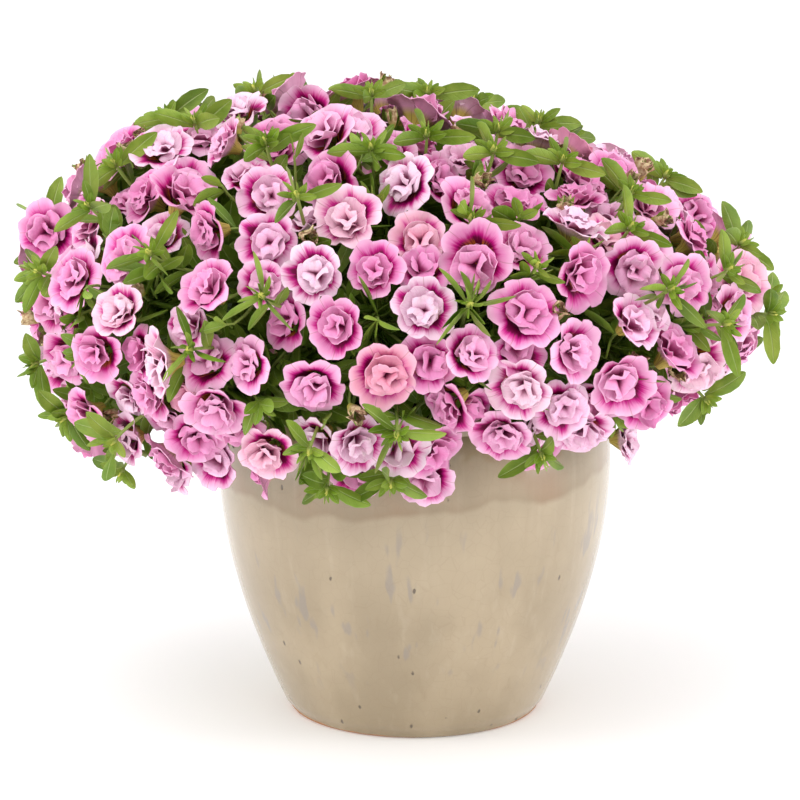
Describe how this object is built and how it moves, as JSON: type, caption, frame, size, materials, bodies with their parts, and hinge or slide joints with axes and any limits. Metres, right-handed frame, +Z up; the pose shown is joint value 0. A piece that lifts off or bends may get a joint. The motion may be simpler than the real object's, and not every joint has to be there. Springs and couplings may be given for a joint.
{
  "type": "potted flowering plant",
  "caption": "Rounded mound of double trumpet blooms on fine leafy stems, growing in a round glazed pot that tapers to a flat foot.",
  "frame": {"origin": "centre of the pot's flat base", "axes": "+Z up; -Y towards the front; +X to the right, along the mound's widest direction"},
  "size_m": [0.4421, 0.4149, 0.3615],
  "materials": {
    "glaze": "gloss",
    "soil": "matte",
    "petal": "matte",
    "leaf": "satin"
  },
  "bodies": {
    "root": {"pot": "glaze", "soil": "soil", "blooms_00": "petal", "blooms_01": "petal", "blooms_02": "petal", "blooms_03": "petal", "blooms_04": "petal", "blooms_05": "petal", "blooms_06": "petal", "blooms_07": "petal", "blooms_08": "petal", "blooms_09": "petal", "blooms_10": "petal", "blooms_11": "petal", "blooms_12": "petal", "blooms_13": "petal", "blooms_14": "petal", "blooms_15": "petal", "blooms_16": "petal", "blooms_17": "petal", "blooms_18": "petal", "blooms_19": "petal", "blooms_20": "petal", "blooms_21": "petal", "blooms_22": "petal", "blooms_23": "petal", "stem_00": "leaf", "stem_01": "leaf", "stem_02": "leaf", "stem_03": "leaf", "stem_04": "leaf", "stem_05": "leaf", "stem_06": "leaf", "stem_07": "leaf", "stem_08": "leaf", "stem_09": "leaf", "stem_10": "leaf", "stem_11": "leaf", "stem_12": "leaf", "stem_13": "leaf", "stem_14": "leaf", "stem_15": "leaf", "stem_16": "leaf", "stem_17": "leaf", "stem_18": "leaf", "stem_19": "leaf", "stem_20": "leaf", "stem_21": "leaf", "stem_22": "leaf", "stem_23": "leaf"}
  },
  "joints": []
}
